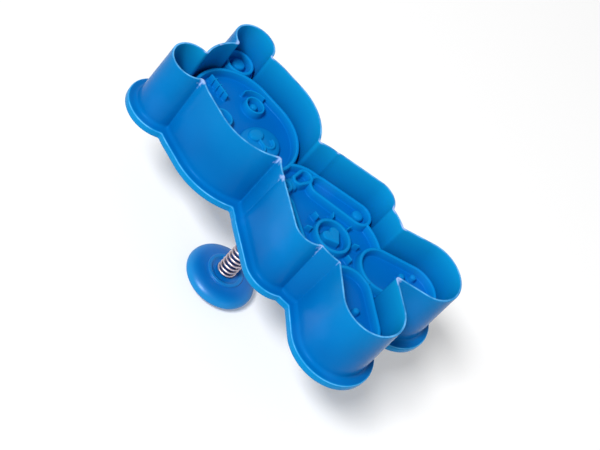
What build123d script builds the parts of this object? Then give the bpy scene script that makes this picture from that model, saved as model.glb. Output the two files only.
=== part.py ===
"""Plunger cutter in a teddy bear outline: cutter moulding, sliding stamp with relief, spring and knob.

Millimetres. +Z runs along the plunger to the cutting edge, +Y from the feet to the ears, X across the bear.
The origin is on the plunger's axis, at the flat of the knob. The cutter stands on it with its open side up.
"""

import math
import os

from build123d import *

# Outline of the cutting edge: the lobes of a sitting teddy bear
cutter_length = 90.8
cutter_width = 43.0
head_radius = 15.0
cheek_radius = 15.9
ear_radius = 6.0
chest_radius = 12.0
belly_radius = 15.2
shoulder_radius = 5.2
hand_radius = 5.6
hip_radius = 8.6
foot_radius = 9.1

# Cutter moulding
wall_depth = 21.0
edge_thickness = 0.6
draft_angle = 2.5
foot_rise = 1.0
foot_spread = 0.7
flange_reach = 3.2
flange_thickness = 2.2
rim_bevel = 0.5
collar_diameter = 9.0
collar_height = 4.5
collar_bevel = 1.0
spring_recess_depth = 1.5

# Stamp moulding
stamp_depth = 7.9
face_thickness = 2.0
skirt_thickness = 1.2
face_bevel = 0.35
rib_thickness = 1.2
rib_depth = 3.5
rib_spacing = 14.0
boss_diameter = 8.0
stem_diameter = 3.4

# Relief on the face of the stamp
relief_height = 2.3
relief_draft = 8.0
line_width = 1.5
edge_margin = 0.5
button_height = 2.0
button_bevel = 0.5
muzzle_height = 1.6
nose_height = 0.8
mouth_height = 0.6
eye_diameter = 6.2
eye_line_width = 1.1
pupil_diameter = 2.4
inner_ear_diameter = 4.2
palm_diameter = 3.6
heel_diameter = 5.0
toe_diameter = 2.2
patch_radius = 5.6
knot_radius = 2.0
wing_root_radius = 2.1
wing_tip_radius = 2.6
heart_lobe_radius = 1.7
heart_point_radius = 0.5
stitch_width = 0.9
stitch_length = 2.2

# Return spring
spring_diameter = 5.6
wire_diameter = 0.7
wire_sides = 6
spring_length = 24.0
spring_turns = 15
end_rise = 0.75

# Knob
knob_diameter = 20.8
knob_rest_diameter = 14.0
knob_rim_height = 2.4
knob_rim_land = 1.6
knob_rim_radius = 1.8
knob_crown_height = 5.8
knob_ring_diameter = 10.8
knob_ring_height = 0.4
knob_dish_diameter = 8.8
knob_dish_depth = 0.5
knob_ring_bevel = 0.25
socket_floor = 1.8

# Clearances
slide_clearance = 0.35
stem_clearance = 0.15
seat_clearance = 0.15
recess_clearance = 0.4

# Heights
ring_z = knob_crown_height + knob_ring_height
seat_z = ring_z - knob_dish_depth
recess_z = seat_z + seat_clearance + spring_length + seat_clearance
collar_z = recess_z - spring_recess_depth
back_z = collar_z + collar_height
floor_z = back_z + flange_thickness
edge_z = back_z + wall_depth
skirt_z = floor_z + seat_clearance
face_z = skirt_z + stamp_depth
face_back_z = face_z - face_thickness

# Places of the lobes, each tied to the lobe that carries it
ear_shares = (0.79, 0.83)
cheek_drop_share = 0.42
neck_share = 0.81
belly_drop_share = 1.22
shoulder_shares = (0.63, 0.05)
hand_spread_share = 0.61
hand_drop_share = 0.88
hip_shares = (0.455, 0.78)
half_length = cutter_length / 2
half_width = cutter_width / 2
ear_x = ear_shares[0] * head_radius
ear_y = half_length - ear_radius
head_y = ear_y - ear_shares[1] * head_radius
cheek_y = head_y - cheek_drop_share * head_radius
chest_y = cheek_y - neck_share * (cheek_radius + chest_radius)
belly_y = chest_y - belly_drop_share * chest_radius
shoulder_x = shoulder_shares[0] * chest_radius
shoulder_y = chest_y + shoulder_shares[1] * chest_radius
hand_x = hand_spread_share * half_width
hand_y = chest_y - hand_drop_share * chest_radius
hip_x = hip_shares[0] * belly_radius
hip_y = belly_y - hip_shares[1] * belly_radius
foot_x = half_width - foot_radius
foot_y = foot_radius - half_length

# A circle is its centre and radius. A lobe runs from one circle to another, or is one circle given twice.
head = ((0, head_y, head_radius), (0, cheek_y, cheek_radius))
trunk = ((0, chest_y, chest_radius), (0, belly_y, belly_radius))
ear = ((ear_x, ear_y, ear_radius), (ear_x, ear_y, ear_radius))
arm = ((shoulder_x, shoulder_y, shoulder_radius), (hand_x, hand_y, hand_radius))
leg = ((hip_x, hip_y, hip_radius), (foot_x, foot_y, foot_radius))


def mirrored(lobe):
    """The same lobe on the bear's other side."""
    (x0, y0, r0), (x1, y1, r1) = lobe
    return ((-x0, y0, r0), (-x1, y1, r1))


limbs = [ear, arm, leg, mirrored(ear), mirrored(arm), mirrored(leg)]
lobes = [head, trunk] + limbs


def lobe_sketch(lobe, grow, height=0):
    """One lobe as a face, grown evenly: two arcs and the lines that touch both, or a circle."""
    (x0, y0, r0), (x1, y1, r1) = lobe
    start = Vector(x0, y0)
    end = Vector(x1, y1)
    near = r0 + grow
    far = r1 + grow
    with BuildSketch(Plane.XY.offset(height)) as face:
        if (end - start).length <= abs(near - far):
            with Locations(start):
                Circle(max(near, far))
        else:
            along = (end - start).normalized()
            lean = math.degrees(math.acos((near - far) / (end - start).length))
            left = along.rotate(Axis.Z, lean)
            right = along.rotate(Axis.Z, -lean)
            with BuildLine():
                Line(start + right * near, end + right * far)
                ThreePointArc(end + right * far, end + along * far, end + left * far)
                Line(end + left * far, start + left * near)
                ThreePointArc(start + left * near, start - along * near, start + right * near)
            make_face()
    return face.sketch


def joined(sketches, height=0):
    """Several flat sketches joined into one at the height given."""
    with BuildSketch(Plane.XY.offset(height)) as face:
        add(sketches)
    return face.sketch


def bear_sketch(grow, height):
    """The bear's outline, grown evenly from the cutting edge, with its sharp inward creases."""
    return joined([lobe_sketch(lobe, grow) for lobe in lobes], height)


def flared_lobe(lobe):
    """One lobe of the cutter, still solid: drafted wall with a spread foot, and a bevelled flange."""
    flange = lobe_sketch(lobe, flange_reach, back_z)
    edge = lobe_sketch(lobe, 0, edge_z)
    with BuildPart() as flared:
        extrude(flange, amount=flange_thickness)
        chamfer(flared.edges().group_by(Axis.Z)[-1], rim_bevel)
        extrude(edge, amount=floor_z - edge_z, taper=-draft_angle)
        ledge = flared.faces().filter_by(Plane.XY).sort_by(Axis.Z)[1]
        chamfer(ledge.inner_wires()[0].edges(), foot_spread, foot_rise, reference=ledge)
    return flared.part


def block_lobe(lobe, grow):
    """One lobe of the stamp's block, with the edge of its face bevelled."""
    with BuildPart() as block:
        extrude(lobe_sketch(lobe, grow, skirt_z), amount=stamp_depth)
        chamfer(block.edges().group_by(Axis.Z)[-1], face_bevel)
    return block.part


# Cutter body: the lobes joined, hollowed from the open side, with the guide collar for the stem on its back
flared_lobes = [flared_lobe(lobe) for lobe in lobes]
hollow = bear_sketch(-edge_thickness, floor_z)

with BuildPart() as cutter_body:
    add(flared_lobes)
    extrude(hollow, amount=wall_depth, mode=Mode.SUBTRACT)
    with BuildSketch(Plane.XY.offset(collar_z)):
        Circle(collar_diameter / 2)
    extrude(amount=collar_height)
    back = cutter_body.faces().filter_by(Plane.XY).group_by(Axis.Z)[1]
    chamfer(back.sort_by(SortBy.AREA)[-1].inner_wires().sort_by(SortBy.LENGTH)[0].edges(), collar_bevel)
    with Locations(Plane((0, 0, collar_z), z_dir=(0, 0, -1))):
        CounterBoreHole(
            radius=stem_diameter / 2 + stem_clearance,
            counter_bore_radius=spring_diameter / 2 + recess_clearance,
            counter_bore_depth=spring_recess_depth,
        )

# Places on the stamp's face, as shares of the piece that carries them
eye_shares = (0.42, -0.05)
muzzle_drop_share = 0.28
muzzle_shares = (0.42, 0.34)
nose_rise_share = 0.42
nose_shares = (0.38, 0.34)
smile_share = 0.27
brow_share = 0.76
seam_shares = (0.30, 0.76)
seam_stitch_shares = (0.40, 0.53, 0.66)
wing_shares = (1.2, 1.15)
patch_rise_share = 0.13
patch_stitch_share = 1.25
heart_shares = (0.86, 0.5, 1.35)
heel_drop_share = 0.2
toe_ring_share = 0.46
toe_angles = (35, 90, 145)
brow_angles = (50, 75)
patch_stitches = 8

stamp_grow = -edge_thickness - slide_clearance
line_grow = stamp_grow - edge_margin
inside_grow = stamp_grow - skirt_thickness
eye_x = eye_shares[0] * head_radius
eye_y = head_y + eye_shares[1] * head_radius
muzzle_y = cheek_y - muzzle_drop_share * cheek_radius
muzzle_x_radius = muzzle_shares[0] * cheek_radius
muzzle_y_radius = muzzle_shares[1] * cheek_radius
nose_y = muzzle_y + nose_rise_share * muzzle_y_radius
nose_x_radius = nose_shares[0] * muzzle_x_radius
nose_y_radius = nose_shares[1] * muzzle_y_radius
smile_radius = smile_share * muzzle_x_radius
smile_y = muzzle_y - smile_radius / 2
bow_y = cheek_y - cheek_radius - knot_radius
wing_root_x = wing_shares[0] * knot_radius
wing_tip_x = wing_root_x + wing_shares[1] * wing_tip_radius
patch_y = belly_y + patch_rise_share * belly_radius
heart_x = heart_shares[0] * heart_lobe_radius
heart_y = patch_y + heart_shares[1] * heart_lobe_radius
heart_point_y = patch_y - heart_shares[2] * heart_lobe_radius
heel_y = foot_y - heel_drop_share * foot_radius
toe_ring_radius = toe_ring_share * foot_radius

wing = ((wing_root_x, bow_y, wing_root_radius), (wing_tip_x, bow_y, wing_tip_radius))
patch = ((0, patch_y, patch_radius), (0, patch_y, patch_radius))
heart_half = ((heart_x, heart_y, heart_lobe_radius), (0, heart_point_y, heart_point_radius))


def outlined(lobe, grow, width=line_width):
    """A raised line round a lobe, with drafted sides."""
    with BuildPart() as line:
        extrude(lobe_sketch(lobe, grow, face_z), amount=relief_height, taper=relief_draft)
        inside = lobe_sketch(lobe, grow - width, face_z)
        extrude(inside, amount=relief_height, taper=-relief_draft, mode=Mode.SUBTRACT)
    return line.part


def covered(lobe, grow):
    """What a lobe hides of the raised lines behind it, up to the middle of its own line."""
    with BuildPart() as cover:
        extrude(lobe_sketch(lobe, grow - line_width / 2, face_z), amount=relief_height)
    return cover.part


def curved_line(path):
    """A short line with round ends along an arc, as a flat sketch."""
    with BuildSketch() as face:
        SlotArc(path, stitch_width)
    return face.sketch


def stitch(x, y, angle, length=stitch_length):
    """One straight stitch as a flat sketch."""
    with BuildSketch() as face:
        with Locations((x, y)):
            Rectangle(length, stitch_width, rotation=angle)
    return face.sketch


def raised(sketch, height, base=0):
    """A flat sketch raised from the stamp's face, or from a pad that stands on it, with drafted sides."""
    with BuildPart() as relief:
        extrude(joined([sketch], face_z + base), amount=height, taper=relief_draft)
    return relief.part


def button(x, y, diameter):
    """A round button on the stamp's face, with a bevelled top edge."""
    with BuildPart() as pad:
        with BuildSketch(Plane.XY.offset(face_z)):
            with Locations((x, y)):
                Circle(diameter / 2)
        extrude(amount=button_height)
        chamfer(pad.edges().group_by(Axis.Z)[-1], button_bevel)
    return pad.part


def oval(y, x_radius, y_radius, height, base=0):
    """An oval pad across the bear's middle, with drafted sides."""
    with BuildPart() as pad:
        with BuildSketch(Plane.XY.offset(face_z + base)):
            with Locations((0, y)):
                Ellipse(x_radius, y_radius)
        extrude(amount=height, taper=relief_draft)
    return pad.part


def stitches():
    """The seam down the forehead with its cross stitches, and the stitches round the patch."""
    seam_y = head_y + (seam_shares[0] + seam_shares[1]) / 2 * head_radius
    seam_length = (seam_shares[1] - seam_shares[0]) * head_radius
    sketches = [stitch(0, seam_y, 90, seam_length)]
    sketches += [stitch(0, head_y + share * head_radius, 0) for share in seam_stitch_shares]
    for index in range(patch_stitches):
        angle = 360 * index / patch_stitches
        place = Vector(0, patch_y) + Vector(patch_stitch_share * patch_radius, 0).rotate(Axis.Z, angle)
        sketches.append(stitch(place.X, place.Y, angle))
    return sketches


def brow(side):
    """The line over one eye."""
    middle = 90 - side * (90 - brow_angles[0])
    start = middle - brow_angles[1] / 2
    return curved_line(CenterArc((side * eye_x, eye_y), brow_share * eye_diameter, start, brow_angles[1]))


def smile(side):
    """One half of the smile, an arc that starts under the nose."""
    return curved_line(CenterArc((side * smile_radius, smile_y), smile_radius, 180, 180))


block_lobes = [block_lobe(lobe, stamp_grow) for lobe in lobes]
back_hollow = bear_sketch(inside_grow, skirt_z)
rib_area = bear_sketch(inside_grow + skirt_thickness / 2, 0)

# Each lobe hides the lines behind it, from the ears at the back to the bow at the front
bear_lobes = (ear, mirrored(ear), trunk, head, arm, mirrored(arm), leg, mirrored(leg))
layers = [(lobe, line_grow) for lobe in bear_lobes] + [(wing, 0), (mirrored(wing), 0), (patch, 0)]
line_layers = [(covered(lobe, grow), outlined(lobe, grow)) for lobe, grow in layers]
with BuildPart() as lines:
    for cover, line in line_layers:
        if lines.part is not None:
            add(cover, mode=Mode.SUBTRACT)
        add(line)

relief = [lines.part]
relief += [raised(lobe_sketch(half, 0), relief_height) for half in (heart_half, mirrored(heart_half))]
relief += [raised(sketch, relief_height) for sketch in stitches()]
relief.append(oval(muzzle_y, muzzle_x_radius, muzzle_y_radius, muzzle_height))
relief.append(oval(nose_y, nose_x_radius, nose_y_radius, nose_height, muzzle_height))
relief.append(raised(stitch(0, (nose_y + smile_y) / 2, 90, nose_y - smile_y), mouth_height, muzzle_height))
relief.append(button(0, bow_y, 2 * knot_radius))
for side in (1, -1):
    relief.append(raised(brow(side), relief_height))
    relief.append(raised(smile(side), mouth_height, muzzle_height))
    eye = (side * eye_x, eye_y, eye_diameter / 2)
    relief.append(outlined((eye, eye), 0, eye_line_width))
    relief.append(button(side * eye_x, eye_y, pupil_diameter))
    relief.append(button(side * ear_x, ear_y, inner_ear_diameter))
    relief.append(button(side * hand_x, hand_y, palm_diameter))
    relief.append(button(side * foot_x, heel_y, heel_diameter))
    for angle in toe_angles:
        toe = Vector(side * foot_x, foot_y) + Vector(toe_ring_radius, 0).rotate(Axis.Z, angle)
        relief.append(button(toe.X, toe.Y, toe_diameter))

with BuildPart() as stamp:
    add(block_lobes)
    extrude(back_hollow, amount=stamp_depth - face_thickness, mode=Mode.SUBTRACT)
    with BuildSketch(Plane.XY.offset(face_back_z - rib_depth)):
        Rectangle(rib_thickness, cutter_length)
        with GridLocations(0, rib_spacing, 1, int(cutter_length / rib_spacing)):
            Rectangle(cutter_width, rib_thickness)
        add(rib_area, mode=Mode.INTERSECT)
        Circle(boss_diameter / 2)
    extrude(amount=rib_depth)
    with BuildSketch(Plane.XY.offset(socket_floor)):
        Circle(stem_diameter / 2)
    extrude(amount=face_back_z - socket_floor)
    add(relief)

# Return spring: one wire on a helix that lies flatter in its first and last turn
coil_radius = (spring_diameter - wire_diameter) / 2
coil_z = seat_z + seat_clearance + wire_diameter / 2
coil_rise = spring_length - wire_diameter
pitch = (coil_rise - end_rise) / (spring_turns - 1)


def wire_height(turn):
    """Height and slope of the wire's centre line after a number of turns, the same from either end."""
    if turn > spring_turns / 2:
        height, slope = wire_height(spring_turns - turn)
        return coil_rise - height, slope
    if turn > 1:
        return (end_rise + pitch) / 2 + pitch * (turn - 1), pitch
    return end_rise * turn + (pitch - end_rise) * turn**2 / 2, end_rise + (pitch - end_rise) * turn


def wire_point(turn):
    """Point and direction of the wire's centre line after a number of turns."""
    height, slope = wire_height(turn)
    out = Vector(coil_radius, 0).rotate(Axis.Z, 360 * turn)
    round_it = out.rotate(Axis.Z, 90) * 2 * math.pi
    return out + Vector(0, 0, coil_z + height), (round_it + Vector(0, 0, slope)).normalized()


def biarc(start, start_way, end, end_way):
    """Where two arcs that join two points and directions smoothly meet, and their direction there."""
    chord = end - start
    bend = 2 * (1 - start_way.dot(end_way))
    along = chord.dot(start_way + end_way)
    reach = (math.sqrt(along**2 + bend * chord.dot(chord)) - along) / bend
    first = start + start_way * reach
    second = end - end_way * reach
    return (first + second) / 2, (second - first).normalized()


stations = [wire_point(half / 2) for half in range(2 * spring_turns + 1)]
with BuildLine() as wire_path:
    start, start_way = stations[0]
    Line(start - start_way * wire_diameter, start)
    for end, end_way in stations[1:]:
        middle, middle_way = biarc(start, start_way, end, end_way)
        TangentArc(start, middle, tangent=start_way)
        TangentArc(middle, end, tangent=middle_way)
        start, start_way = end, end_way
    Line(start, start + start_way * wire_diameter)

with BuildPart() as return_spring:
    with BuildSketch(Plane(stations[0][0] - stations[0][1] * wire_diameter, z_dir=stations[0][1])):
        RegularPolygon(wire_diameter / 2, wire_sides)
    sweep(path=wire_path.line)

steps_per_turn = 32
wire_points = [wire_point(step / steps_per_turn)[0] for step in range(steps_per_turn * spring_turns + 1)]
least_gap = min(
    (point - other).length
    for index, point in enumerate(wire_points)
    for other in wire_points[index + steps_per_turn // 2 : index + 2 * steps_per_turn]
)
print("least gap between the spring's turns", round(least_gap - wire_diameter, 3), "mm")
print("height of the spring pressed solid", round((spring_turns + 1) * wire_diameter, 2), "mm")

# Knob: turned about the plunger's axis, with a blind socket for the stem and a dish that centres the spring
knob_radius = knob_diameter / 2
rest_radius = knob_rest_diameter / 2
ring_radius = knob_ring_diameter / 2
dish_radius = knob_dish_diameter / 2
stem_radius = stem_diameter / 2
rim_z = knob_rim_height + knob_rim_land

with BuildPart() as knob:
    with BuildSketch(Plane.XZ):
        with BuildLine():
            Polyline(
                (0, 0),
                (rest_radius, 0),
                (knob_radius, knob_rim_height),
                (knob_radius, rim_z),
                (ring_radius, knob_crown_height),
                (ring_radius, ring_z),
                (dish_radius, ring_z),
                (dish_radius, seat_z),
                (stem_radius, seat_z),
                (stem_radius, socket_floor),
                (0, socket_floor),
                close=True,
            )
        make_face()
    revolve(axis=Axis.Z)
    circles = knob.edges().filter_by(GeomType.CIRCLE)
    fillet(circles.filter_by_position(Axis.Z, rim_z, rim_z), knob_rim_radius)
    chamfer(knob.edges().group_by(Axis.Z)[-1], knob_ring_bevel)

cutter_body.part.label = "cutter_body"
stamp.part.label = "stamp"
return_spring.part.label = "return_spring"
knob.part.label = "knob"

os.makedirs("parts", exist_ok=True)
export_step(cutter_body.part, "parts/cutter_body.step")
export_step(stamp.part, "parts/stamp.step")
export_step(return_spring.part, "parts/return_spring.step")
export_step(knob.part, "parts/knob.step")
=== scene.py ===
import math

import bmesh
import bpy
import numpy as np
from mathutils import Matrix, Vector


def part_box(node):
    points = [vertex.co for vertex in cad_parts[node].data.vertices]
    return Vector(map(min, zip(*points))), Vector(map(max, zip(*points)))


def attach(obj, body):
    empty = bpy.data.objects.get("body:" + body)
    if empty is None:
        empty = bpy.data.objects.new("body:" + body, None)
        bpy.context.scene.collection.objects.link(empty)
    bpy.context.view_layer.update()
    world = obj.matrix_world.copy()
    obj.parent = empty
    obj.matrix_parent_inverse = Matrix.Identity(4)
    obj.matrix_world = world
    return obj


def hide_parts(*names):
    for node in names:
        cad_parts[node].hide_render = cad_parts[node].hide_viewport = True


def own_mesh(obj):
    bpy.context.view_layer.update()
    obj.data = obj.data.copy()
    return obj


# Looks of the plunger cutter. Sizes are in millimetres, in the part's frame, and each mesh is scaled to
# metres when it is made. +Z runs along the plunger to the cutting edge, +Y to the ears, and the origin is at
# the knob's flat.
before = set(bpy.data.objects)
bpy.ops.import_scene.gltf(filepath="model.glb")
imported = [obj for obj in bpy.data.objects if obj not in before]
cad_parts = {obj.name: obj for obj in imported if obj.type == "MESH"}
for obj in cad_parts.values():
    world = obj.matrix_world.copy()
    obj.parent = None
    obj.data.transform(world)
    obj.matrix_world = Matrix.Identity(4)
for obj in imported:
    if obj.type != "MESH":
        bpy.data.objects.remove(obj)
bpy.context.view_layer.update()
millimetre = 0.001

# Cutter moulding
cutting_length = 90.8
cutting_width = 43.0
wall_depth = 21.0
edge_thickness = 0.6
edge_radius = 0.16
draft = math.tan(math.radians(2.5))
foot_cove = 1.1
flange_reach = 3.2
flange_thickness = 2.2
rim_top, rim_under = 0.45, 0.4
collar_radius = 4.5
recess_radius = 3.2
recess_depth = 1.5
stem_hole_radius = 1.85

# Stamp moulding
slide_clearance = 0.35
seat_clearance = 0.15
stamp_depth = 7.9
face_thickness = 2.0
face_edge_radius = 0.35
skirt_thickness = 1.2
skirt_bevel = 0.1
rib_thickness, rib_depth, rib_spacing = 1.2, 3.5, 14.0
boss_radius, boss_depth = 4.0, 3.5
stem_radius = 1.7
stem_bevel = 0.2
socket_z = 1.8
edge_margin = 0.5
line_width = 1.5
line_height = 2.3
relief_lean = math.tan(math.radians(8))
stamp_grow = -edge_thickness - slide_clearance
line_grow = stamp_grow - edge_margin - line_width / 2

# Heights, from the lowest and the highest point of the cutter moulding in the frame
low_corner, high_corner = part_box("cutter_body")
edge_z = high_corner.z / millimetre
collar_z = low_corner.z / millimetre
back_z = edge_z - wall_depth
floor_z = back_z + flange_thickness
skirt_z = floor_z + seat_clearance
face_z = skirt_z + stamp_depth
face_back_z = face_z - face_thickness
recess_z = collar_z + recess_depth

# Radii of the bear's lobes at the cutting edge, and their places as shares of what carries them
head_radius, cheek_radius, ear_radius = 15.0, 15.9, 6.0
chest_radius, belly_radius = 12.0, 15.2
shoulder_radius, hand_radius = 5.2, 5.6
hip_radius, foot_radius = 8.6, 9.1
ear_shares = (0.79, 0.83)
cheek_drop_share = 0.42
neck_share = 0.81
belly_drop_share = 1.22
shoulder_shares = (0.63, 0.05)
hand_spread_share, hand_drop_share = 0.61, 0.88
hip_shares = (0.455, 0.78)
ear_x, ear_y = ear_shares[0] * head_radius, cutting_length / 2 - ear_radius
head_y = ear_y - ear_shares[1] * head_radius
cheek_y = head_y - cheek_drop_share * head_radius
chest_y = cheek_y - neck_share * (cheek_radius + chest_radius)
belly_y = chest_y - belly_drop_share * chest_radius
shoulder_x, shoulder_y = shoulder_shares[0] * chest_radius, chest_y + shoulder_shares[1] * chest_radius
hand_x, hand_y = hand_spread_share * cutting_width / 2, chest_y - hand_drop_share * chest_radius
hip_x, hip_y = hip_shares[0] * belly_radius, belly_y - hip_shares[1] * belly_radius
foot_x, foot_y = cutting_width / 2 - foot_radius, foot_radius - cutting_length / 2

# Each lobe runs from one circle to another, as centre and radius
head = ((0.0, head_y, head_radius), (0.0, cheek_y, cheek_radius))
trunk = ((0.0, chest_y, chest_radius), (0.0, belly_y, belly_radius))
ear = ((ear_x, ear_y, ear_radius), (ear_x, ear_y, ear_radius))
arm = ((shoulder_x, shoulder_y, shoulder_radius), (hand_x, hand_y, hand_radius))
leg = ((hip_x, hip_y, hip_radius), (foot_x, foot_y, foot_radius))
bear = (leg, trunk, arm, head, ear)

# Colours laid over the plastic where vertices are marked, each laid over the ones before: painted shade,
# painted light, and wear and scuffs that carry painted highlights and glints
mark_shades = {
    # painted shade: darker inside the wall towards the floor
    "dark_tone_and_painted_shade": (0.0, 0.085, 0.38, 1),
    # painted shade on the stem, where the spring's coils shade it
    "shaded": (0.01, 0.04, 0.16, 1),
    # painted light: lighter where light would come through the plastic, on the rims and on raised relief
    "painted_light": (0.004, 0.34, 0.69, 1),
    # wear with a painted highlight line along the cutting edge and the rim
    "wear_and_painted_highlight": (0.12, 0.46, 0.86, 1),
    # scuffs with painted glints where the creases meet the cutting edge
    "scuff_and_painted_glint": (0.30, 0.46, 0.82, 1),
}


def mirrored(lobe):
    """The same lobe on the bear's other side."""
    (x0, y0, r0), (x1, y1, r1) = lobe
    return ((-x0, y0, r0), (-x1, y1, r1))


class Lobe:
    """The boundary of a lobe, followed anticlockwise by a parameter that doesn't depend on its growth."""

    def __init__(self, lobe):
        (x0, y0, r0), (x1, y1, r1) = lobe
        self.start, self.end = np.array((x0, y0)), np.array((x1, y1))
        self.near, self.far = r0, r1
        self.gap = float(np.hypot(*(self.end - self.start)))
        self.round = self.gap <= abs(r0 - r1)
        if self.round:
            self.near = self.far = max(r0, r1)
            self.length = 2 * math.pi * self.near
            return
        self.along = (self.end - self.start) / self.gap
        self.heading = math.atan2(self.along[1], self.along[0])
        self.lean = math.acos((r0 - r1) / self.gap)
        self.side = math.sqrt(self.gap**2 - (r0 - r1) ** 2)
        self.far_arc = 2 * self.lean * r1
        self.near_arc = (2 * math.pi - 2 * self.lean) * r0
        self.length = 2 * self.side + self.far_arc + self.near_arc

    def at(self, params, grow):
        """Points and outward normals at the parameters, with the lobe grown evenly."""
        params = np.atleast_1d(np.asarray(params, float)) % self.length
        centre = np.zeros((len(params), 2))
        radius = np.zeros(len(params))
        if self.round:
            angle = params / self.near
            centre[:] = self.start
            radius[:] = self.near + grow
        else:
            angle = np.zeros(len(params))
            marks = np.cumsum((self.side, self.far_arc, self.side))
            share = params / self.side
            pick = params < marks[0]
            angle[pick] = self.heading - self.lean
            centre[pick] = self.start + np.outer(share[pick], self.end - self.start)
            radius[pick] = self.near + share[pick] * (self.far - self.near) + grow
            pick = (params >= marks[0]) & (params < marks[1])
            angle[pick] = self.heading - self.lean + (params[pick] - marks[0]) / self.far
            centre[pick] = self.end
            radius[pick] = self.far + grow
            pick = (params >= marks[1]) & (params < marks[2])
            share = (params - marks[1]) / self.side
            angle[pick] = self.heading + self.lean
            centre[pick] = self.end + np.outer(share[pick], self.start - self.end)
            radius[pick] = self.far + share[pick] * (self.near - self.far) + grow
            pick = params >= marks[2]
            angle[pick] = self.heading + self.lean + (params[pick] - marks[2]) / self.near
            centre[pick] = self.start
            radius[pick] = self.near + grow
        normals = np.stack((np.cos(angle), np.sin(angle)), 1)
        return centre + normals * radius[:, None], normals

    def distance(self, points):
        """How far points lie outside the lobe, negative inside."""
        local = points - self.start
        if self.round:
            return np.hypot(local[:, 0], local[:, 1]) - self.near
        forward = local @ self.along / self.gap
        across = np.abs(local @ np.array((-self.along[1], self.along[0]))) / self.gap
        sine = (self.near - self.far) / self.gap
        cosine = math.sqrt(1 - sine**2)
        turn = cosine * forward - sine * across
        flat = sine * forward + cosine * across
        beyond = np.hypot(across, forward - 1) * self.gap - self.far
        behind = np.hypot(across, forward) * self.gap - self.near
        side = flat * self.gap - self.near
        return np.where(turn < 0, behind, np.where(turn > cosine, beyond, side))


def half_spans(lobes, grow):
    """Stretches of the joined outline where x >= 0, from its lowest point on x = 0 to its highest."""
    count, slack, near_axis = 2400, 1e-6, 1e-2
    shapes = [Lobe(lobe) for lobe in lobes]
    others = shapes + [Lobe(mirrored(lobe)) for lobe in lobes]
    runs = []
    for index, shape in enumerate(shapes):
        params = np.arange(count) * shape.length / count
        points, _ = shape.at(params, grow)
        clear = points[:, 0] + slack
        for number, other in enumerate(others):
            own_copy = number == index + len(shapes) and lobes[index][0][0] == 0
            if number != index and not own_copy:
                clear = np.minimum(clear, other.distance(points) - grow + slack)
        before = np.roll(clear, 1)
        crossing = np.where((before < 0) != (clear < 0))[0]
        marks = [(k - 1 + before[k] / (before[k] - clear[k])) * shape.length / count for k in crossing]
        rising = [clear[k] > 0 for k in crossing]
        for place, (mark, up) in enumerate(zip(marks, rising)):
            if up:
                end = marks[(place + 1) % len(marks)]
                runs.append((index, mark, end + (shape.length if end < mark else 0)))
    ends = [(shapes[i].at(a, grow)[0][0], shapes[i].at(b, grow)[0][0]) for i, a, b in runs]
    current = min((k for k in range(len(runs)) if ends[k][0][0] < near_axis), key=lambda k: ends[k][0][1])
    chain = [runs[current]]
    while ends[current][1][0] > near_axis:
        here = ends[current][1]
        current = min(range(len(runs)), key=lambda k: np.hypot(*(ends[k][0] - here)))
        chain.append(runs[current])
    return chain


class Outline:
    """The joined outline of some lobes and their mirror images, as rings that match point for point."""

    crease_points = 6

    def __init__(self, lobes, step, reference=0.0):
        self.lobes, self.shapes = lobes, [Lobe(lobe) for lobe in lobes]
        chain = half_spans(lobes, reference)
        self.order = [index for index, _, _ in chain]
        self.counts = [max(3, math.ceil((last - first) / step)) for _, first, last in chain]

    def crease(self, centre, first, last, radius, shares):
        """Points of the small arc that rounds a crease, from one outward normal to the next."""
        start = math.atan2(first[1], first[0])
        turn = (math.atan2(last[1], last[0]) - start + math.pi) % (2 * math.pi) - math.pi
        angles = start + turn * np.asarray(shares)
        return centre - radius * np.stack((np.cos(angles), np.sin(angles)), 1)

    def ring(self, grow, radius):
        """One closed ring of points, with the creases rounded to the radius."""
        chain = half_spans(self.lobes, grow + radius)
        found = iter(chain)
        coming = next(found)
        pieces = []
        half = np.arange(self.crease_points // 2 + 1) / (self.crease_points // 2 + 1)
        whole = np.arange(1, self.crease_points + 1) / (self.crease_points + 1)
        centre, normal = self.shapes[coming[0]].at(coming[1], grow + radius)
        pieces.append(self.crease(centre[0], (0, -1), normal[0], radius, half))
        for place, (index, count) in enumerate(zip(self.order, self.counts)):
            last_place = place == len(self.order) - 1
            if coming is not None and coming[0] == index:
                shape = self.shapes[index]
                pieces.append(shape.at(np.linspace(coming[1], coming[2], count), grow)[0])
                centre, normal = shape.at(coming[2], grow + radius)
                coming = next(found, None)
                if not last_place:
                    following = self.shapes[coming[0]].at(coming[1], grow + radius)[1]
                    pieces.append(self.crease(centre[0], normal[0], following[0], radius, whole))
            else:
                here = self.shapes[coming[0]].at(coming[1], grow)[0]
                pieces.append(np.repeat(here, count + self.crease_points, 0))
        pieces.append(self.crease(centre[0], normal[0], (0, 1), radius, 1 - half[::-1]))
        right = np.concatenate(pieces)
        left = right[-2:0:-1] * (-1, 1)
        return np.concatenate((right, left))

    def creases(self):
        """For each point of a ring, whether it lies in one of the creases between two lobes."""
        half = [True] * (self.crease_points // 2 + 1)
        flags = list(half)
        for place, count in enumerate(self.counts):
            flags += [False] * count
            if place < len(self.counts) - 1:
                flags += [True] * self.crease_points
        flags += half
        return flags + flags[-2:0:-1]


def new_mesh():
    """An empty mesh with a value at each vertex for each mark that the plastic shows."""
    mesh = bmesh.new()
    for name in mark_shades:
        mesh.verts.layers.float.new(name)
    return mesh


def mark(mesh, name, vertices, value):
    """Marks vertices with one of those values."""
    layer = mesh.verts.layers.float[name]
    for vertex in vertices:
        vertex[layer] = value


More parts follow.
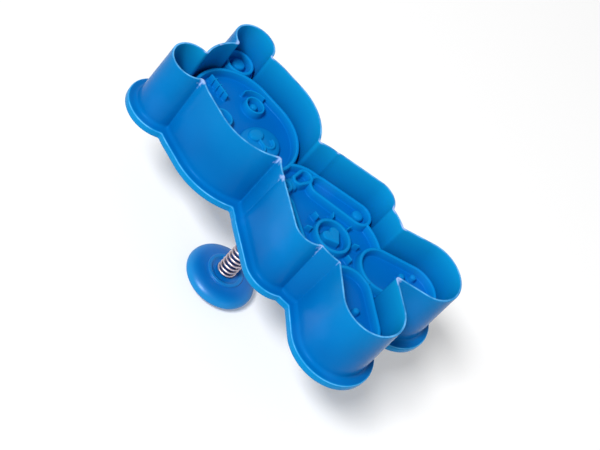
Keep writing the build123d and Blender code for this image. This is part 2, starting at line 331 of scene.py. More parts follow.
def skin(mesh, rings, closed=True):
    """Faces between rings of as many points each. Gives the vertices, ring by ring."""
    levels = [[mesh.verts.new(point) for point in ring] for ring in rings]
    for low, high in zip(levels, levels[1:]):
        for k in range(len(low) if closed else len(low) - 1):
            n = (k + 1) % len(low)
            mesh.faces.new((low[k], low[n], high[n], high[k]))
    return levels


def raise_to(points, z):
    """Flat points, given a height."""
    return np.column_stack((points, np.full(len(points), float(z))))


def circle(radius, count):
    """Points of a circle about the origin."""
    angles = np.arange(count) * 2 * math.pi / count
    return radius * np.stack((np.cos(angles), np.sin(angles)), 1)


def fill(mesh, *loops):
    """A flat face inside a loop of vertices, with holes where more loops are given."""
    if len(loops) == 1:
        mesh.faces.new(loops[0])
        return
    edges = [mesh.edges.get((loop[k - 1], loop[k])) for loop in loops for k in range(len(loop))]
    bmesh.ops.triangle_fill(mesh, use_beauty=True, edges=edges)


def arc_points(centre, radius, first, last, steps):
    """Points of an arc, in a section or on a face, between two angles in degrees."""
    angles = np.radians(np.linspace(first, last, steps + 1))
    return [(centre[0] + radius * math.cos(a), centre[1] + radius * math.sin(a)) for a in angles]


def finish_piece(name, mesh, body, material, slot, *nodes, sharp=28.0):
    """Turns a mesh in millimetres into a piece in metres that rides on a body and stands for its nodes."""
    bmesh.ops.remove_doubles(mesh, verts=mesh.verts, dist=1e-4)
    bmesh.ops.recalc_face_normals(mesh, faces=mesh.faces)
    data = bpy.data.meshes.new(name)
    mesh.to_mesh(data)
    mesh.free()
    data.transform(Matrix.Scale(millimetre, 4))
    data.shade_smooth()
    data.set_sharp_from_angle(angle=math.radians(sharp))
    data.materials.append(material)
    piece = bpy.data.objects.new(name, data)
    bpy.context.scene.collection.objects.link(piece)
    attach(piece, body)
    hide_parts(*nodes)
    return piece


def crease_radius(grow):
    """Radius of the outline's creases: even wall thickness at the wall, wider at the flange."""
    at_edge, widening_share, widening_start = 0.3, 0.22, 0.8
    if grow <= 0:
        return at_edge - grow
    return at_edge + widening_share * max(0.0, grow - widening_start)


bear_outline = Outline(bear, step=0.6)


def bear_ring(grow, z):
    """The bear's outline, grown evenly, at a height."""
    return raise_to(bear_outline.ring(grow, crease_radius(grow)), z)


def mark_wall(mesh, section, levels, foot_grow):
    """Marks the wall with painted light towards its edge and on the rim, painted shade inside, wear with a
    painted highlight on its edge and rim, and scuffs with painted glints at its creases.
    """
    painted_light_power, painted_light_start = 1.3, 4.0
    outside_share, rim_share, inside_share = 0.25, 0.45, 0.2
    rim_band_shares = (0.15, 0.4)
    scuff_and_glint_depth, crease_reach = 6.0, 6
    inside_slack, edge_slack = 0.01, 0.02
    creases = np.array(bear_outline.creases(), float)
    shifts = range(1 - crease_reach, crease_reach)
    near_crease = np.max([np.roll(creases, k) * (1 - abs(k) / crease_reach) for k in shifts], 0)
    rim_band_top, rim_band_bottom = (floor_z - share * rim_top for share in rim_band_shares)
    for (grow, z), level in zip(section, levels):
        inside = grow <= inside_slack - edge_thickness
        # Painted light: lighter towards the cutting edge, as if light came through the plastic there, less
        # on the outside.
        start = face_z if inside else floor_z + painted_light_start
        painted_light = max(0.0, (z - start) / (edge_z - start)) ** painted_light_power
        mark(mesh, "painted_light", level, painted_light if inside else outside_share * painted_light)
        # Inside the wall, painted shade, darker towards the floor.
        if inside:
            mark(mesh, "dark_tone_and_painted_shade", level, inside_share * (1 - painted_light))
        # Painted light on the flange rim's side.
        if grow > flange_reach - rim_top:
            mark(mesh, "painted_light", level, rim_share)
        # Wear and a painted highlight line along the cutting edge and in a band of the rim's rounding.
        on_rim = grow > foot_grow + foot_cove and rim_band_bottom < z < rim_band_top
        if z > edge_z - edge_slack or on_rim:
            mark(mesh, "wear_and_painted_highlight", level, 1.0)
        # Scuffs with painted glints at the creases' tops, fading downwards.
        tip = 1 - (edge_z - z) / scuff_and_glint_depth
        if tip > 0 and not inside:
            for vertex, nearness in zip(level, near_crease):
                mark(mesh, "scuff_and_painted_glint", [vertex], tip * nearness)


def make_cutter_body(material):
    """The cutter moulding: flange, wall with its cove and edge, floor and the collar for the stem."""
    foot_grow = (edge_z - floor_z) * draft
    cove_sink, cove_end = 0.04, 182.5
    wall_start, wall_end = floor_z + 2.5, edge_z - 0.6
    inside_heights = (edge_z - 0.8, edge_z - 3.0, face_z, floor_z)
    section = arc_points((flange_reach - rim_under, back_z + rim_under), rim_under, -90, 0, steps=4)
    section += arc_points((flange_reach - rim_top, floor_z - rim_top), rim_top, 0, 90, steps=7)
    cove_centre = (foot_grow + foot_cove - cove_sink, floor_z + foot_cove)
    section += arc_points(cove_centre, foot_cove, 270, cove_end, steps=8)
    section += [((edge_z - z) * draft, z) for z in np.linspace(wall_start, wall_end, 9)]
    section += arc_points((-edge_radius, edge_z - edge_radius), edge_radius, 0, 90, steps=4)
    inner_centre = (edge_radius - edge_thickness, edge_z - edge_radius)
    section += arc_points(inner_centre, edge_radius, 90, 180, steps=4)
    section += [(-edge_thickness, z) for z in inside_heights]
    mesh = new_mesh()
    levels = skin(mesh, [bear_ring(grow, z) for grow, z in section])
    mark_wall(mesh, section, levels, foot_grow)
    collar_foot = ((1.0, 0.0), (0.3, -0.25), (0.0, -1.0))
    collar_end = ((0.0, 0.3), (-0.15, 0.08), (-0.3, 0.0))
    recess_lip = ((0.15, 0.0), (0.0, 0.15))
    collar = [(collar_radius + reach, back_z + rise) for reach, rise in collar_foot]
    collar += [(collar_radius + reach, collar_z + rise) for reach, rise in collar_end]
    collar += [(recess_radius + reach, collar_z + rise) for reach, rise in recess_lip]
    collar += [(recess_radius, recess_z), (stem_hole_radius, recess_z), (stem_hole_radius, floor_z)]
    bore = skin(mesh, [raise_to(circle(radius, count=96), z) for radius, z in collar])
    fill(mesh, levels[0], bore[0])
    fill(mesh, levels[-1], bore[-1])
    finish_piece("cutter_moulding", mesh, "cutter", material, "blue_plastic", "cutter_body")


def ridge_section(width, height, base):
    """Half of a raised line's section, from the middle of its top to below the face it stands on."""
    foot, root_depth = 0.45, 0.3
    lean_share, bulge_share, top_turn = 0.8, 0.75, 1.35
    top = width / 2 - height * relief_lean * lean_share
    turns = np.linspace(0, top_turn, 6)
    section = [(top * math.sin(a), base + height - top * bulge_share * (1 - math.cos(a))) for a in turns]
    soft_foot = ((-relief_lean * foot, foot), (0.03, 0.24), (0.12, 0.1), (0.27, 0.01), (foot, -0.02))
    section += [(width / 2 + reach, base + rise) for reach, rise in soft_foot]
    return section + [(width / 2 + foot, base - root_depth)]


def ridge(mesh, points, width, height, base=face_z, closed=False):
    """A raised line along flat points, with rounded top, drafted sides, a soft foot and round ends."""
    points = np.asarray(points, float)
    section = ridge_section(width, height, base)
    if closed:
        ahead = np.roll(points, -1, 0) - np.roll(points, 1, 0)
    else:
        ahead = np.gradient(points, axis=0)
    ahead /= np.hypot(ahead[:, 0], ahead[:, 1])[:, None]
    out = np.stack((ahead[:, 1], -ahead[:, 0]), 1)
    across = [(-offset, z) for offset, z in section[:0:-1]] + section
    body = [[(*(p + o * offset), z) for offset, z in across] for p, o in zip(points, out)]
    levels = skin(mesh, body, closed=False)
    if closed:
        for k in range(len(across) - 1):
            mesh.faces.new((levels[-1][k], levels[-1][k + 1], levels[0][k + 1], levels[0][k]))
        return
    for place, sign in ((0, -1), (-1, 1)):
        fan = []
        for turn in np.radians(np.linspace(90, -90, 13)):
            way = sign * math.cos(turn) * ahead[place] + math.sin(turn) * out[place]
            fan.append([(*(points[place] + way * offset), z) for offset, z in section])
        skin(mesh, fan, closed=False)


def pad(mesh, outline, height, base=face_z, *, edge, crown=0.15):
    """A raised pad with a rounded edge and a crowned top, whose outline is a function of its growth."""
    foot, root_depth, crown_inset, crown_share = 0.3, 0.3, 0.25, 0.4
    soft_foot = ((foot, -root_depth), (foot, -0.02), (0.14, 0.02), (0.03, 0.12))
    section = [(reach, base + rise) for reach, rise in soft_foot]
    section.append((-relief_lean * foot, base + foot))
    top = base + height - crown
    inset = relief_lean * (height - crown - edge)
    for a in np.linspace(0.1, 1.5, 6):
        section.append((-inset - edge * (1 - math.cos(a)), top - edge * (1 - math.sin(a))))
    section.append((-inset - edge - crown_inset, top + crown_share * crown))
    levels = skin(mesh, [raise_to(outline(grow), z) for grow, z in section])
    fill(mesh, levels[-1])


def uncovered(lobe, grow, later):
    """Stretches of a lobe's line that no later lobe covers, each with whether it is the whole line."""
    step, overlap, fewest = 0.45, 0.05, 3
    shape = Lobe(lobe)
    count = math.ceil(shape.length / step)
    points, _ = shape.at(np.arange(count) * shape.length / count, grow)
    seen = np.ones(count, bool)
    for other, other_grow in later:
        seen &= Lobe(other).distance(points) > other_grow - overlap
    if seen.all():
        return [(points, True)]
    first = int(np.where(~seen)[0][0])
    points, seen = np.roll(points, -first, 0), np.roll(seen, -first)
    runs, start = [], None
    for k in range(count + 1):
        shown = k < count and seen[k]
        if shown and start is None:
            start = k
        if not shown and start is not None:
            if k - start >= fewest:
                runs.append((points[start:k], False))
            start = None
    return runs


# Places on the stamp's face, as shares of what carries them
eye_shares = (0.42, 0.05)
eye_radius, pupil_radius, eye_line_width = 3.1, 1.2, 1.1
brow_share, brow_lean, brow_reach = 1.52, 40, 37.5
seam_shares = (0.30, 0.76)
seam_stitch_shares = (0.40, 0.53, 0.66)
muzzle_drop_share = 0.28
muzzle_shares = (0.42, 0.34)
nose_rise_share = 0.42
nose_shares = (0.38, 0.34)
smile_share = 0.27
knot_radius, wing_root_radius, wing_tip_radius = 2.0, 2.1, 2.6
wing_root_share, wing_tip_share = 1.2, 1.15
patch_radius = 5.6
patch_rise_share = 0.13
patch_stitches, patch_stitch_share = 8, 1.25
heart_radius, heart_point_radius = 1.7, 0.5
heart_lobe_shares = (0.86, 0.5)
heart_drop_share = 1.35
inner_ear_radius, palm_radius, heel_radius, toe_radius = 2.1, 1.8, 2.5, 1.1
heel_drop_share, toe_share = 0.2, 0.46
toe_angles = (35, 145)
stitch_width, stitch_length = 0.9, 2.2
eye_x, eye_y = eye_shares[0] * head_radius, head_y - eye_shares[1] * head_radius
muzzle_y = cheek_y - muzzle_drop_share * cheek_radius
muzzle_x_radius, muzzle_y_radius = (share * cheek_radius for share in muzzle_shares)
nose_y = muzzle_y + nose_rise_share * muzzle_y_radius
nose_x_radius, nose_y_radius = nose_shares[0] * muzzle_x_radius, nose_shares[1] * muzzle_y_radius
smile_radius = smile_share * muzzle_x_radius
smile_y = muzzle_y - smile_radius / 2
bow_y = cheek_y - cheek_radius - knot_radius
wing_root_x = wing_root_share * knot_radius
wing_tip_x = wing_root_x + wing_tip_share * wing_tip_radius
wing = ((wing_root_x, bow_y, wing_root_radius), (wing_tip_x, bow_y, wing_tip_radius))
patch_y = belly_y + patch_rise_share * belly_radius
patch = ((0.0, patch_y, patch_radius), (0.0, patch_y, patch_radius))
heart_x, heart_rise = (share * heart_radius for share in heart_lobe_shares)
heart_lobe = (heart_x, patch_y + heart_rise, heart_radius)
heart_half = (heart_lobe, (0.0, patch_y - heart_drop_share * heart_radius, heart_point_radius))
stitch_reach = (stitch_length - stitch_width) / 2

# Heights of the relief's pads
pad_height = 2.0
muzzle_height = 1.6
nose_height = 0.95
mouth_height = 0.75
muzzle_sink = 0.18


def line_points(start, end, count=8):
    """Points of a straight line, evenly spaced."""
    return np.linspace(start, end, count)


def oval_outline(centre, x_radius, y_radius):
    """The outline of an oval as a function of its growth."""
    unit = circle(1.0, count=72)
    return lambda grow: np.asarray(centre) + unit * (x_radius + grow, y_radius + grow)


def heart_outline():
    """The heart's outline as a function of its growth. Past the least growth it shrinks to its middle."""
    least, sharpness, sharpest, draw_share = -0.35, 0.15, 0.05, 1.5
    heart = Outline((heart_half,), step=0.25, reference=-0.2)
    middle = np.array((0.0, patch_y))

    def ring(grow):
        kept = max(grow, least)
        drawn = 1 + (grow - kept) / (draw_share * heart_radius)
        return middle + drawn * (heart.ring(kept, max(sharpest, sharpness - kept)) - middle)

    return ring


def add_lines(mesh):
    """The raised lines round the bear's parts, bow and patch, left out where a nearer part covers them."""
    bear_parts = (ear, mirrored(ear), trunk, head, arm, mirrored(arm), leg, mirrored(leg))
    layers = [(lobe, line_grow) for lobe in bear_parts]
    layers += [(lobe, -line_width / 2) for lobe in (wing, mirrored(wing), patch)]
    for number, (lobe, grow) in enumerate(layers):
        for points, whole in uncovered(lobe, grow, layers[number + 1 :]):
            ridge(mesh, points, line_width, line_height, closed=whole)


def add_face(mesh):
    """Eyes, brows, muzzle, nose, mouth and the seam on the forehead."""
    seam_low, seam_high = (head_y + share * head_radius for share in seam_shares)
    ridge(mesh, line_points((0, seam_low), (0, seam_high), count=20), stitch_width, line_height)
    for share in seam_stitch_shares:
        y = head_y + share * head_radius
        ridge(mesh, line_points((-stitch_reach, y), (stitch_reach, y)), stitch_width, line_height)
    muzzle = oval_outline((0, muzzle_y), muzzle_x_radius, muzzle_y_radius)
    pad(mesh, muzzle, muzzle_height, edge=0.8, crown=0.3)
    on_muzzle = face_z + muzzle_height - muzzle_sink
    nose = oval_outline((0, nose_y), nose_x_radius, nose_y_radius)
    pad(mesh, nose, nose_height, on_muzzle, edge=0.55)
    mouth_overlap = 0.1
    mouth_line = line_points((0, nose_y), (0, smile_y - mouth_overlap))
    ridge(mesh, mouth_line, stitch_width, mouth_height, on_muzzle)
    for side in (1, -1):
        eye = np.array((side * eye_x, eye_y))
        eye_line = eye + circle(eye_radius - eye_line_width / 2, count=48)
        ridge(mesh, eye_line, eye_line_width, line_height, closed=True)
        pad(mesh, oval_outline(eye, pupil_radius, pupil_radius), pad_height, edge=0.7, crown=0.2)
        brow_start = 90 - side * brow_lean - brow_reach
        brow = arc_points(eye, brow_share * eye_radius, brow_start, brow_start + 2 * brow_reach, steps=23)
        ridge(mesh, brow, stitch_width, line_height)
        smile = arc_points((side * smile_radius, smile_y), smile_radius, 180, 360, steps=23)
        ridge(mesh, smile, stitch_width, mouth_height, on_muzzle)


def add_pads(mesh):
    """Inner ears, palms, soles, toes, the knot of the bow, and the heart with its stitches."""
    pad(mesh, oval_outline((0, bow_y), knot_radius, knot_radius), pad_height, edge=0.8, crown=0.25)
    widest_edge, edge_share = 0.75, 0.6
    places = [((ear_x, ear_y), inner_ear_radius), ((hand_x, hand_y), palm_radius)]
    places += [((foot_x, foot_y - heel_drop_share * foot_radius), heel_radius)]
    toes = arc_points((foot_x, foot_y), toe_share * foot_radius, *toe_angles, steps=2)
    places += [(toe, toe_radius) for toe in toes]
    for side in (1, -1):
        for (x, y), radius in places:
            edge = min(widest_edge, edge_share * radius)
            pad(mesh, oval_outline((side * x, y), radius, radius), pad_height, edge=edge, crown=0.2)
    pad(mesh, heart_outline(), line_height, edge=0.45, crown=0.1)
    for way in circle(1.0, patch_stitches):
        middle = np.array((0, patch_y)) + way * patch_stitch_share * patch_radius
        half = way * stitch_reach
        ridge(mesh, line_points(middle - half, middle + half), stitch_width, line_height)


def inside_runs(start, end, grow):
    """Stretches of a straight line that lie inside the bear's outline, grown evenly."""
    ring = bear_outline.ring(grow, crease_radius(grow))
    way = np.subtract(end, start)
    side = (ring - start) @ np.array((-way[1], way[0]))
    after = np.roll(side, -1)
    crossing = (side < 0) != (after < 0)
    share = side[crossing] / (side - after)[crossing]
    points = ring[crossing] + share[:, None] * (np.roll(ring, -1, 0) - ring)[crossing]
    points = points[np.argsort(points @ way)]
    return list(zip(points[::2], points[1::2]))


def add_ribs(mesh, grow):
    """Ribs behind the stamp's face, one along it and the others across, each from skirt to skirt."""
    rib_sink = 0.3
    rib_root_z, rib_end_z = face_back_z + rib_sink, face_back_z - rib_depth
    reach = cutting_length / 2
    count = int(cutting_length / rib_spacing)
    places = [(index - (count - 1) / 2) * rib_spacing for index in range(count)]
    runs = inside_runs((0, -reach), (0, reach), grow)
    for y in places:
        runs += inside_runs((-reach, y), (reach, y), grow)
    for start, end in runs:
        way = (end - start) / np.hypot(*(end - start))
        out = np.array((way[1], -way[0])) * rib_thickness / 2
        corners = np.array((start + out, end + out, end - out, start - out))
        levels = skin(mesh, [raise_to(corners, z) for z in (rib_root_z, rib_end_z)])
        fill(mesh, levels[-1])


def make_stamp(material):
    """The stamp moulding: block with a rounded edge, skirt behind, stem, and the relief on its face."""
    skirt_grow = stamp_grow - skirt_thickness
    round_end, side_top, relief_share = 0.08, 1.0, 0.4
    section = [(skirt_grow, face_back_z), (skirt_grow, skirt_z + skirt_bevel)]
    section += [(skirt_grow + skirt_bevel, skirt_z), (stamp_grow - skirt_bevel, skirt_z)]
    section += [(stamp_grow, skirt_z + skirt_bevel), (stamp_grow, face_z - side_top)]
    centre = (stamp_grow - face_edge_radius, face_z - face_edge_radius)
    section += arc_points(centre, face_edge_radius, 0, 90, steps=5)
    section += [(centre[0] - round_end, face_z)]
    mesh = new_mesh()
    levels = skin(mesh, [bear_ring(grow, z) for grow, z in section])
    fill(mesh, levels[-1])
    boss_z = face_back_z - boss_depth
    stem = [(boss_radius, face_back_z), (boss_radius, boss_z), (stem_radius, boss_z)]
    stem += [(stem_radius, socket_z + stem_bevel), (stem_radius - stem_bevel, socket_z)]
    rod = skin(mesh, [raise_to(circle(radius, count=64), z) for radius, z in stem])
    fill(mesh, levels[0], rod[0])
    fill(mesh, rod[-1])
    # The stem is marked with painted shade, dark where the spring's coils shade it.
    mark(mesh, "shaded", [vertex for ring in rod for vertex in ring], 1.0)
    add_ribs(mesh, (stamp_grow + skirt_grow) / 2)
    add_lines(mesh)
    add_face(mesh)
    add_pads(mesh)
    # Painted light: raised relief lighter the higher it stands.
    for vertex in mesh.verts:
        rise = min(1.0, max(0.0, (vertex.co.z - face_z) / line_height))
        mark(mesh, "painted_light", [vertex], relief_share * rise)
    finish_piece("stamp_moulding", mesh, "plunger", material, "blue_plastic", "stamp", sharp=38)


def make_knob(material):
    """The push button, round about the plunger's axis: a thick rim, and a raised ring round the spring."""
    knob_radius, rest_reach, corner, rim_z = 10.4, 6.81, 0.6, 2.71
    crown_centre, crown_radii, crown_end = np.array((5.3, 2.7)), np.array((5.1, 2.95)), 82
    dip, dip_z = 0.2, 5.85
    ring_radius, ring_z, ring_inner_reach = 5.4, 6.2, 4.6
    ring_outside, ring_inside = 0.28, 0.3
    dish_z = 5.7
    dish = ((4.0, dish_z + 0.12), (3.6, dish_z + 0.02), (3.4, dish_z), (stem_radius, dish_z))
    section = arc_points((rest_reach, corner), corner, 270, 305, steps=4)
    section += arc_points((knob_radius - corner, rim_z), corner, -55, 0, steps=5)
    crown_arc = arc_points((0, 0), 1, 0, crown_end, steps=23)
    section += [tuple(crown_centre + crown_radii * point) for point in crown_arc]
    section += arc_points((ring_radius + dip, dip_z), dip, 262, 180, steps=4)
    section += arc_points((ring_radius - ring_outside, ring_z - ring_outside), ring_outside, 0, 90, steps=5)
    section += arc_points((ring_inner_reach, ring_z - ring_inside), ring_inside, 90, 145, steps=5)
    section += [*dish, (stem_radius, socket_z)]
    mesh = new_mesh()
    levels = skin(mesh, [raise_to(circle(radius, count=128), z) for radius, z in section])
    # Painted light: the rim lighter towards its edge, as if light came through it, and the raised ring's top
    # lighter.
    ring_share, rim_share, rim_power, rim_start = 0.2, 0.45, 1.5, 7.4
    for (radius, z), level in zip(section, levels):
        painted_light = rim_share * max(0.0, (radius - rim_start) / (knob_radius - rim_start)) ** rim_power
        mark(mesh, "painted_light", level, ring_share if z > ring_z - ring_inside else painted_light)
    fill(mesh, levels[0])
    fill(mesh, levels[-1])
    finish_piece("push_button", mesh, "plunger", material, "blue_plastic", "knob", sharp=35)


# Return spring: the wire lies flatter in its first and last turn
spring_low, spring_high = (corner.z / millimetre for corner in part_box("return_spring"))
spring_turns = 15
coil_radius = 2.45
wire_radius = 0.35
end_rise = 0.75
coil_start = spring_low + wire_radius
coil_rise = spring_high - spring_low - 2 * wire_radius
pitch = (coil_rise - end_rise) / (spring_turns - 1)


def wire_height(turn):
    """Height of the wire's middle after a number of turns, the same from either end."""
    if turn > spring_turns / 2:
        return coil_rise - wire_height(spring_turns - turn)
    if turn > 1:
        return (end_rise + pitch) / 2 + pitch * (turn - 1)
    return end_rise * turn + (pitch - end_rise) * turn**2 / 2


def make_spring(material):
    """The return spring: one wire with cut ends, on a helix."""
    steps_a_turn, wire_sides = 56, 14
    turns = np.arange(steps_a_turn * spring_turns + 1) / steps_a_turn
    angles = 2 * math.pi * turns
    heights = np.array([coil_start + wire_height(turn) for turn in turns])
    points = np.stack((coil_radius * np.cos(angles), coil_radius * np.sin(angles), heights), 1)
    ahead = np.gradient(points, axis=0)
    ahead /= np.linalg.norm(ahead, axis=1)[:, None]
    out = np.stack((np.cos(angles), np.sin(angles), np.zeros(len(angles))), 1)
    side = np.cross(ahead, out)
    wire = circle(wire_radius, wire_sides)
    rings = [[point + x * o + y * s for x, y in wire] for point, o, s in zip(points, out, side)]
    mesh = bmesh.new()
    levels = skin(mesh, rings)
    fill(mesh, levels[0])
    fill(mesh, levels[-1])
    piece = finish_piece("return_coil", mesh, "cutter", material, "spring_wire", "return_spring", sharp=40)
    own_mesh(piece)


def new_material(name):
    """An empty material, its node tree and its output."""
    material = bpy.data.materials.new(name)
    material.use_nodes = True
    tree = material.node_tree
    tree.nodes.clear()
    output = tree.nodes.new("ShaderNodeOutputMaterial")
    return material, tree, output


def noise(tree, scale, detail):
    """A pattern of soft patches in the piece's own space."""
    place = tree.nodes.new("ShaderNodeTexCoord")
    pattern = tree.nodes.new("ShaderNodeTexNoise")
    pattern.inputs["Scale"].default_value = scale
    pattern.inputs["Detail"].default_value = detail
    tree.links.new(place.outputs["Object"], pattern.inputs["Vector"])
    return pattern.outputs["Fac"]


def worked_out(tree, operation, *values):
    """One step of arithmetic on sockets and numbers."""
    step = tree.nodes.new("ShaderNodeMath")
    step.operation = operation
    for socket, value in zip(step.inputs, values):
        if isinstance(value, float):
            socket.default_value = value
        else:
            tree.links.new(value, socket)
    return step.outputs[0]


def ranged(tree, value, low=0.0, high=1.0, to_low=0.0, to_high=1.0):
    """A value whose range from low to high becomes another range, and which is held at its ends."""
    mapped = tree.nodes.new("ShaderNodeMapRange")
    limits = {"From Min": low, "From Max": high, "To Min": to_low, "To Max": to_high}
    for name, limit in limits.items():
        mapped.inputs[name].default_value = limit
    tree.links.new(value, mapped.inputs["Value"])
    return mapped.outputs["Result"]


def ramp(tree, value, *stops):
    """A colour that changes with a value, from stops that are each a place on the ramp and a colour."""
    node = tree.nodes.new("ShaderNodeValToRGB")
    elements = node.color_ramp.elements
    for element, (place, colour) in zip(elements, stops):
        element.position, element.color = place, colour
    for place, colour in stops[2:]:
        elements.new(place).color = colour
    tree.links.new(value, node.inputs["Fac"])
    return node.outputs["Color"]


def bumped(tree, height, strength, distance, below=None):
    """The normal of a surface raised by a pattern, on top of another such normal where one is given."""
    bump = tree.nodes.new("ShaderNodeBump")
    bump.inputs["Strength"].default_value = strength
    bump.inputs["Distance"].default_value = distance
    tree.links.new(height, bump.inputs["Height"])
    if below is not None:
        tree.links.new(below, bump.inputs["Normal"])
    return bump.outputs["Normal"]


def broken_up(tree, share, fine, wide):
    """A mark's share, broken into patches by a fine pattern and stronger or weaker with a wide one."""
    fine_weight, wide_weight = 1.3, 1.2
    patches_start, patches_full = 1.80, 2.15
    added = worked_out(tree, "MULTIPLY_ADD", fine, fine_weight, share)
    added = worked_out(tree, "MULTIPLY_ADD", wide, wide_weight, added)
    return ranged(tree, added, patches_start, patches_full)


def faded(tree, share, pattern):
    """A mark's share, fainter in some places than in others."""
    faint, strong, least = 0.38, 0.62, 0.25
    return worked_out(tree, "MULTIPLY", share, ranged(tree, pattern, faint, strong, least))


def plastic(name, dark_tone_and_painted_shade, pale, shine=0.07, rough=(0.20, 0.30), tint=(0.16, 0.50, 1.0, 1)):
    """Glossy moulded plastic between two shades with painted reflection patches, with its marks of painted
    light, shade, wear and scuffs, slight waves and a faint grain.
    """
    material, tree, output = new_material(name)
    slow, waves = noise(tree, 60.0, 1.0), noise(tree, 110.0, 1.0)
    uneven, patchy, grain = noise(tree, 260.0, 3.0), noise(tree, 700.0, 4.0), noise(tree, 2200.0, 2.0)
    # Lighter patches among the tones are a painted reflection.
    painted_reflection_patch = (0.010, pale[1] + 0.02, pale[2] + 0.05, 1)
    colour = ramp(tree, slow, (0.35, dark_tone_and_painted_shade), (0.60, pale), (0.74, painted_reflection_patch))
    for value, shade in mark_shades.items():
        amount = tree.nodes.new("ShaderNodeAttribute")
        amount.attribute_name = value
        share = amount.outputs["Fac"]
        # Scuffs and painted glints, broken into patches.
        if value == "scuff_and_painted_glint":
            share = broken_up(tree, share, patchy, slow)
        # Wear and painted highlight, fainter in places.
        if value == "wear_and_painted_highlight":
            share = faded(tree, share, uneven)
        laid_over = tree.nodes.new("ShaderNodeMix")
        laid_over.data_type = "RGBA"
        laid_over.inputs["B"].default_value = shade
        tree.links.new(share, laid_over.inputs["Factor"])
        tree.links.new(colour, laid_over.inputs["A"])
        colour = laid_over.outputs["Result"]
    shader = tree.nodes.new("ShaderNodeBsdfPrincipled")
    shader.inputs["IOR"].default_value = 1.49
    shader.inputs["Specular IOR Level"].default_value = shine
    shader.inputs["Specular Tint"].default_value = tint
    tree.links.new(colour, shader.inputs["Base Color"])
    tree.links.new(ranged(tree, slow, to_low=rough[0], to_high=rough[1]), shader.inputs["Roughness"])
    wavy = bumped(tree, waves, strength=0.22, distance=0.0006)
    grained = bumped(tree, grain, strength=0.10, distance=0.00005, below=wavy)
    tree.links.new(grained, shader.inputs["Normal"])
    tree.links.new(shader.outputs["BSDF"], output.inputs["Surface"])
    return material


def spring_metal():
    """Bright drawn wire with fine marks along its coils."""
    material, tree, output = new_material("drawn_spring_wire")
    marks = noise(tree, 900.0, 4.0)
    dull, bright = (0.44, 0.34, 0.34, 1), (0.84, 0.72, 0.73, 1)
    shader = tree.nodes.new("ShaderNodeBsdfPrincipled")
    shader.inputs["Metallic"].default_value = 1.0
    tree.links.new(ramp(tree, marks, (0.0, dull), (1.0, bright)), shader.inputs["Base Color"])
    tree.links.new(ranged(tree, marks, to_low=0.30, to_high=0.46), shader.inputs["Roughness"])
    tree.links.new(bumped(tree, marks, strength=0.15, distance=0.00003), shader.inputs["Normal"])
    tree.links.new(shader.outputs["BSDF"], output.inputs["Surface"])
    return material


def strength_where_seen(tree, unseen, seen):
    """One strength for rays that show a thing to the camera, also in gloss or glass, one for the rest."""
    path = tree.nodes.new("ShaderNodeLightPath")
    shown = path.outputs["Is Camera Ray"]
    for name in ("Is Glossy Ray", "Is Transmission Ray"):
        shown = worked_out(tree, "MAXIMUM", shown, path.outputs[name])
    return ranged(tree, shown, to_low=unseen, to_high=seen)


def studio_floor():
    """A pale floor that the camera and reflections see as white, apart from the object's shadow."""
    material, tree, output = new_material("studio_floor")
    matt = tree.nodes.new("ShaderNodeBsdfDiffuse")
    matt.inputs["Color"].default_value = (0.79, 0.79, 0.79, 1)
    lift = tree.nodes.new("ShaderNodeEmission")
    lift.inputs["Color"].default_value = (1, 1, 1, 1)
    tree.links.new(strength_where_seen(tree, unseen=0.0, seen=0.20), lift.inputs["Strength"])
    both = tree.nodes.new("ShaderNodeAddShader")
    tree.links.new(matt.outputs["BSDF"], both.inputs[0])
    tree.links.new(lift.outputs["Emission"], both.inputs[1])
    tree.links.new(both.outputs["Shader"], output.inputs["Surface"])
    return material


def make_floor():
    """The floor that the cutter stands on."""
    reach = 1500 * millimetre
    corners = [(-reach, -reach, 0), (reach, -reach, 0), (reach, reach, 0), (-reach, reach, 0)]
    data = bpy.data.meshes.new("studio_floor")
    data.from_pydata(corners, [], [(0, 1, 2, 3)])
    data.materials.append(studio_floor())
    floor = bpy.data.objects.new("studio_floor", data)
    bpy.context.scene.collection.objects.link(floor)


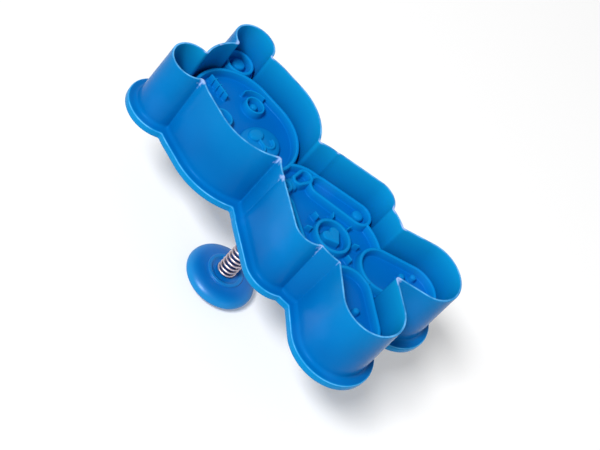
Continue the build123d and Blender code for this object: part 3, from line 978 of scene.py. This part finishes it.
def make_camera():
    """The photograph's viewpoint: lens and place in the part's frame, with the camera rolled."""
    right = Vector((0.6244, -0.5895, 0.5125))
    up = Vector((0.3014, 0.7871, 0.5381))
    back = right.cross(up)
    place = Vector((-240.7, -67.0, 261.9))
    data = bpy.data.cameras.new("camera")
    data.sensor_width = 36.0
    data.lens = 78.0
    data.clip_start = 0.01
    camera = bpy.data.objects.new("camera", data)
    matrix = Matrix((right, up, back)).transposed().to_4x4()
    matrix.translation = place * millimetre
    camera.matrix_world = matrix
    bpy.context.scene.collection.objects.link(camera)
    bpy.context.scene.camera = camera


def make_light(name, place, size, power):
    """A soft rectangular lamp, turned to the middle of the cutter."""
    target = Vector((0, 0, 40))
    data = bpy.data.lights.new(name, "AREA")
    data.shape = "RECTANGLE"
    data.size, data.size_y = (length * millimetre for length in size)
    data.energy = power
    lamp = bpy.data.objects.new(name, data)
    matrix = (Vector(place) - target).to_track_quat("Z", "Y").to_matrix().to_4x4()
    matrix.translation = Vector(place) * millimetre
    lamp.matrix_world = matrix
    bpy.context.scene.collection.objects.link(lamp)


def make_world():
    """A soft light from all round, which the camera and reflections see as white."""
    world = bpy.data.worlds.new("studio")
    bpy.context.scene.world = world
    world.use_nodes = True
    tree = world.node_tree
    background = tree.nodes["Background"]
    background.inputs["Color"].default_value = (1, 1, 1, 1)
    strength = strength_where_seen(tree, unseen=0.36, seen=1.0)
    tree.links.new(strength, background.inputs["Strength"])


bpy.context.scene.view_settings.view_transform = "Standard"
make_camera()
blue = plastic("blue_moulded_plastic", (0.0, 0.118, 0.39, 1), (0.0, 0.143, 0.445, 1))
# The stamp's copy of the blue plastic is bluer: painted light for the stamp, which sits in the cutter's
# shade.
stamp_blue_with_painted_light = plastic("stamp_blue_plastic_with_painted_light", (0.0, 0.118, 0.425, 1), (0.0, 0.142, 0.485, 1))
button_blue = plastic(
    "button_blue_moulded_plastic",
    (0.0, 0.118, 0.40, 1),
    (0.0, 0.140, 0.455, 1),
    shine=0.5,
    rough=(0.30, 0.40),
    tint=(0.52, 0.62, 1.0, 1),
)
make_cutter_body(blue)
make_stamp(stamp_blue_with_painted_light)
make_knob(button_blue)
make_spring(spring_metal())
make_floor()
make_light("key", place=(-1510, 245, 1705), size=(620, 340), power=52.0)
make_light("fill", place=(-500, -1700, 800), size=(600, 600), power=1.2)
make_world()
